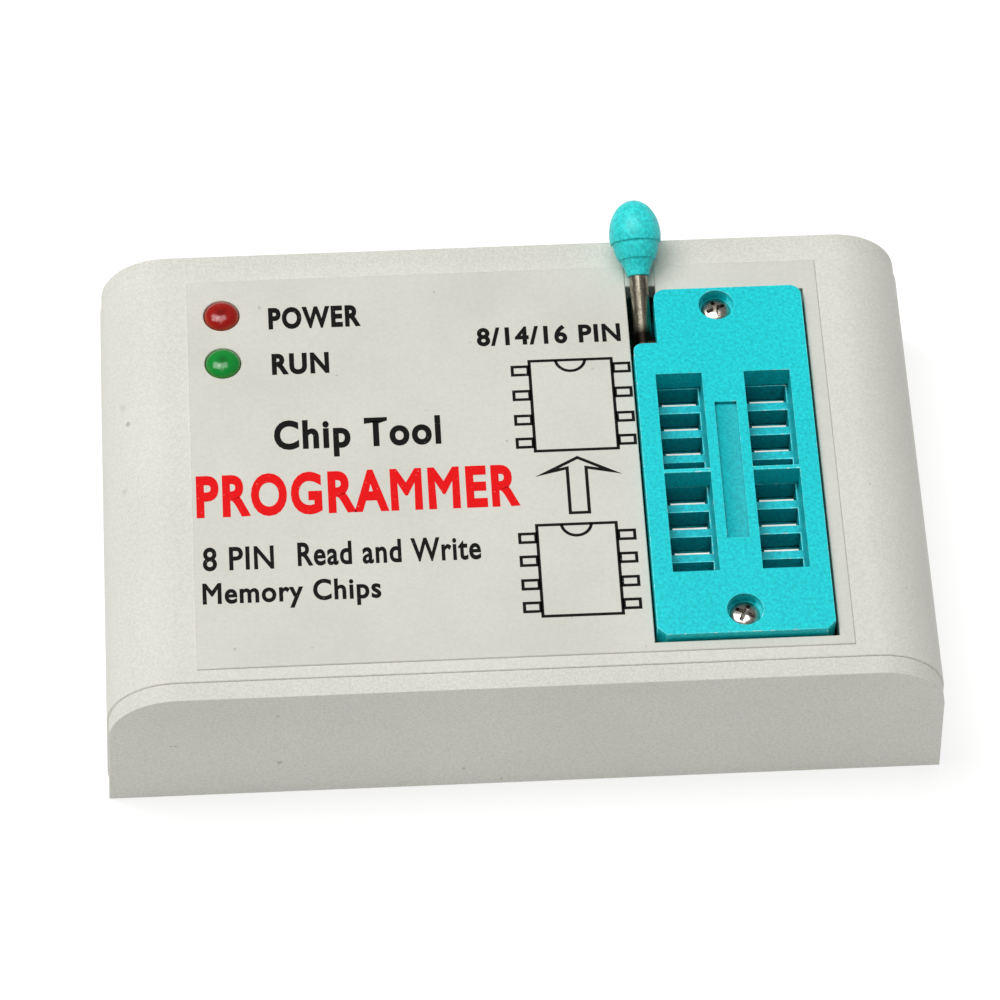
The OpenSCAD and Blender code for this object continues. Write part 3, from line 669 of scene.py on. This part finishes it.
def cross_screws(name, node, spots, head_r, head_h, shank_r):
    """Round-headed screws with a tapered cross recess, one piece for all spots of (x, y, turn)."""
    tip, head_top = (corner.z for corner in box_mm(node))
    foot = head_top - head_h
    whole = bmesh.new()
    for x, y, turn in spots:
        arc = [(head_r * math.sin(math.radians(a)), foot + 0.22 + (head_h - 0.22) * math.cos(math.radians(a)))
               for a in (0, 12, 24, 36, 48, 60, 72, 82, 90)]
        profile = arc + [(head_r, foot + 0.05), (head_r - 0.05, foot), (shank_r, foot),
                         (shank_r, tip + 0.5), (shank_r * 0.35, tip), (0, tip)]
        body = bmesh.new()
        turned(body, profile, (0, 0, 0), 40)
        body_object = scratch(body, "screw_body")
        for quarter in (0, 90):
            blade = bmesh.new()
            bmesh.ops.create_cube(blade, size=1.0)
            bmesh.ops.scale(blade, vec=(head_r * 1.66, head_r * 0.3, head_h * 1.7), verts=blade.verts)
            lower = [v for v in blade.verts if v.co.z < 0]
            bmesh.ops.scale(blade, vec=(0.68, 0.85, 1), verts=lower)
            bmesh.ops.translate(blade, vec=(0, 0, head_top), verts=blade.verts)
            bmesh.ops.rotate(blade, cent=(0, 0, 0), verts=blade.verts,
                             matrix=Matrix.Rotation(math.radians(turn + quarter), 3, "Z"))
            blade_object = scratch(blade, "screw_blade")
            cut = body_object.modifiers.new("recess", "BOOLEAN")
            cut.operation = "DIFFERENCE"
            cut.solver = "EXACT"
            cut.object = blade_object
        bpy.context.view_layer.update()
        shaped = bpy.data.meshes.new_from_object(
            body_object.evaluated_get(bpy.context.evaluated_depsgraph_get()))
        for thing in [o for o in bpy.data.objects if o.name.startswith("screw_")]:
            bpy.data.objects.remove(thing)
        shaped.transform(Matrix.Translation((x, y, 0)))
        whole.from_mesh(shaped)
        bpy.data.meshes.remove(shaped)
    bmesh.ops.remove_doubles(whole, verts=whole.verts, dist=0.001)
    bmesh.ops.recalc_face_normals(whole, faces=whole.faces)
    finish_mesh(name, whole, [screw_steel], "root", (node,), 34)


def scratch(bm, name):
    """A passing object that a boolean cut works on."""
    mesh = bpy.data.meshes.new(name)
    bm.to_mesh(mesh)
    bm.free()
    thing = bpy.data.objects.new(name, mesh)
    bpy.context.scene.collection.objects.link(thing)
    return thing


COVER_LOW, COVER_HIGH = box_mm("socket_cover")
SOCKET_X = (COVER_LOW.x + COVER_HIGH.x) / 2
cross_screws("cover_screws", "socket_cover_screws", [(SOCKET_X, 14.8, 24), (SOCKET_X, -16.45, 61)],
             head_r=1.27, head_h=0.65, shank_r=0.8)

# ---------------------------------------------------------------- chip socket

PITCH = 2.54                                            # between the contacts of a row
WINDOW_X = (SOCKET_X - 1.5 * PITCH, SOCKET_X + 1.5 * PITCH)
BAR_Y = 6 - 3.5 * PITCH + 0.555                         # middle of the bar across each window
BAR_W = 0.4


def cover_edge(middle, edge):
    """Rounding of the cover: round bars between the windows, crisp edges elsewhere."""
    if middle.z > COVER_HIGH.z - 0.01:
        on_bar = abs(abs(middle.y - BAR_Y) - BAR_W / 2) < 0.03
        if on_bar and min(abs(middle.x - x) for x in WINDOW_X) < 1.9:
            return 0.17
        inner = abs(middle.x - SOCKET_X) < 6.5 and abs(middle.y) < 15.5
        return 0.04 if inner else 0.1
    if middle.z > COVER_HIGH.z - 0.4:
        return 0.03
    return 0.07


def cover_finish(middle):
    """The shallow panel between the windows is a shade deeper than the rest of the cover."""
    sunk = COVER_HIGH.z - 0.45 < middle.z < COVER_HIGH.z - 0.02
    return 1 if sunk and abs(middle.x - SOCKET_X) < 1.6 and abs(middle.y) < 12 else 0


# the rounded edges of lid and comb take the last finish: a painted highlight with wear on it
softened("socket_lid", "socket_cover", [cover_teal, recess_teal, edge_highlight_and_wear], "root",
         cover_edge, 4, worn=True, finish_at=cover_finish,
         cuts=[("x", x) for x in (WINDOW_X[0], SOCKET_X, WINDOW_X[1])])
softened("socket_body", "socket_base", [deep_teal], "root", lambda m, e: 0.06, 2)
softened("comb", "socket_slider", [deep_teal, edge_highlight_and_wear], "slider",
         lambda m, e: 0.06, 2, worn=True)

# ---------------------------------------------------------------- lever knob

LEVER_REST = 24      # degrees above level with the lever closed
LEVER_LEAN = 1.8     # degrees away from the socket
LEVER_TIP = 13.03    # from the shaft to the knob's end


def frame_joint(name):
    """The place of a joint's axis, in millimetres."""
    joint = next(j for j in frame["joints"] if j["name"] == name)
    return Vector(joint["pos_m"]) / MM


def knob():
    """Egg-shaped head over a ring step and a stepped neck, turned round the lever's rod."""
    tip = LEVER_TIP
    head = curve_through([(0.0, tip - 0.01), (0.56, tip - 0.12), (1.13, tip - 0.44), (1.55, tip - 0.87),
                          (1.89, tip - 1.44), (2.11, tip - 2.02), (2.23, tip - 2.65),
                          (2.265, tip - 3.2), (2.22, tip - 3.75)], 4)
    neck = curve_through([(2.02, tip - 3.95), (1.98, tip - 4.2), (1.885, tip - 4.6),
                          (1.76, tip - 5.0), (1.66, tip - 5.24)], 4)
    foot = curve_through([(1.46, tip - 5.42), (1.3, tip - 5.75), (1.12, tip - 6.2),
                          (1.0, tip - 6.6), (0.96, tip - 6.76)], 3)
    profile = head + [(2.19, tip - 3.83), (2.06, tip - 3.86)] + neck + [(1.62, tip - 5.32), (1.5, tip - 5.35)]
    profile += foot + [(0.93, tip - 6.79), (0.8, tip - 6.79), (0.8, tip - 2.0), (0, tip - 2.0)]
    bm = bmesh.new()
    turned(bm, profile, (0, 0, 0), 64)
    shaft = frame_joint("lever_tilt")
    closed = (Matrix.Rotation(math.radians(LEVER_REST - 90), 3, "X")
              @ Matrix.Rotation(math.radians(-LEVER_LEAN), 3, "Y"))
    bmesh.ops.rotate(bm, cent=(0, 0, 0), verts=bm.verts, matrix=closed)
    bmesh.ops.translate(bm, vec=shaft, verts=bm.verts)
    finish_mesh("knob", bm, [knob_teal], "lever", ("lever_knob",), 30)


knob()

# ---------------------------------------------------------------- parts that keep their CAD shape

CARRIED = {
    "lever_rod": rod_steel, "socket_contacts": tin, "circuit_board": board,
    "microcontroller": epoxy, "microcontroller_legs": tin, "buffer_chip": epoxy,
    "buffer_chip_legs": tin, "voltage_regulator": epoxy, "regulator_legs": tin,
    "crystal": can_steel, "bulk_capacitor": can_steel, "capacitor_sleeve_base": black_nylon,
    "chip_capacitors": ceramic, "chip_resistors": epoxy, "usb_shell": can_steel,
    "usb_tongue": black_nylon, "usb_contacts": gold, "lamp_leads": tin, "case_screws": screw_steel,
}
for node, finish in CARRIED.items():
    for material_slot in nodes[node].material_slots:
        material_slot.material = finish
    if not nodes[node].material_slots:
        nodes[node].data.materials.append(finish)

# ---------------------------------------------------------------- camera, floor and light


def camera():
    """A long lens looking down at the top, turned a little to the right."""
    yaw, pitch, roll = (math.radians(a) for a in (4.526, 56.830, 1.575))
    forward = Vector((math.sin(yaw) * math.cos(pitch), math.cos(yaw) * math.cos(pitch), -math.sin(pitch)))
    level = Vector((math.cos(yaw), -math.sin(yaw), 0))
    up = level.cross(forward)
    right = level * math.cos(roll) + up * math.sin(roll)
    top = up * math.cos(roll) - level * math.sin(roll)
    data = bpy.data.cameras.new("camera")
    data.sensor_width = 36
    data.lens = 185.9148
    data.clip_start = 0.01
    thing = bpy.data.objects.new("camera", data)
    thing.matrix_world = Matrix.Translation(Vector((-20.38, -243.69, 383.57)) * MM) @ Matrix(
        (right, top, -forward)).transposed().to_4x4()
    bpy.context.scene.collection.objects.link(thing)
    bpy.context.scene.camera = thing


def floor():
    """A white table, lit a little from within so that it stays even, and clear from below."""
    bm = bmesh.new()
    bmesh.ops.create_grid(bm, x_segments=30, y_segments=30, size=2.0)
    bmesh.ops.translate(bm, vec=(0, 0, -0.05 * MM), verts=bm.verts)
    mesh = bpy.data.meshes.new("floor")
    bm.to_mesh(mesh)
    bm.free()
    thing = bpy.data.objects.new("floor", mesh)
    f = Finish("floor_paper", Roughness=0.9, Emission_Strength=0.72, Specular_IOR_Level=0.1)
    f.shader.inputs["Emission Color"].default_value = (1, 1, 1, 1)
    tone = f.mix(f.noise(0.01, 2), (0.37, 0.37, 0.37, 1), (0.39, 0.39, 0.39, 1))
    mesh.materials.append(f.feed(Base_Color=tone))
    clear = f.tree.nodes.new("ShaderNodeBsdfTransparent")
    seen_from_below = f.node("ShaderNodeNewGeometry", output="Backfacing")
    blend = f.node("ShaderNodeMixShader", {}, {0: seen_from_below, 1: Wire(f, f.shader.outputs[0]),
                                               2: Wire(f, clear.outputs[0])})
    output = next(n for n in f.tree.nodes if n.type == "OUTPUT_MATERIAL")
    f.tree.links.new(blend.socket, output.inputs["Surface"])
    bpy.context.scene.collection.objects.link(thing)


def soft_light(name, place, size, power, tint=(1, 1, 1)):
    """A rectangular studio light aimed at the middle of the scene, in metres and watts."""
    data = bpy.data.lights.new(name, "AREA")
    data.shape = "RECTANGLE"
    data.size, data.size_y = size
    data.energy = power
    data.color = tint
    thing = bpy.data.objects.new(name, data)
    towards = (-Vector(place)).to_track_quat("-Z", "Y").to_matrix().to_4x4()
    thing.matrix_world = Matrix.Translation(place) @ towards
    bpy.context.scene.collection.objects.link(thing)


camera()
floor()
soft_light("key", (-0.42, 0.16, 0.84), (0.5, 0.5), 4.5, (1, 0.995, 0.985))
soft_light("overhead", (-0.04, 0.12, 0.97), (0.6, 0.4), 3.5)
soft_light("strip", (-0.06, -0.2, 0.9), (0.05, 0.4), 0.35)
world = bpy.data.worlds.new("studio")
world.use_nodes = True
world.node_tree.nodes["Background"].inputs["Color"].default_value = (1, 1, 0.99, 1)
world.node_tree.nodes["Background"].inputs["Strength"].default_value = 0.22
bpy.context.scene.world = world
bpy.context.scene.view_settings.view_transform = "Standard"
bpy.context.scene.view_settings.look = "None"
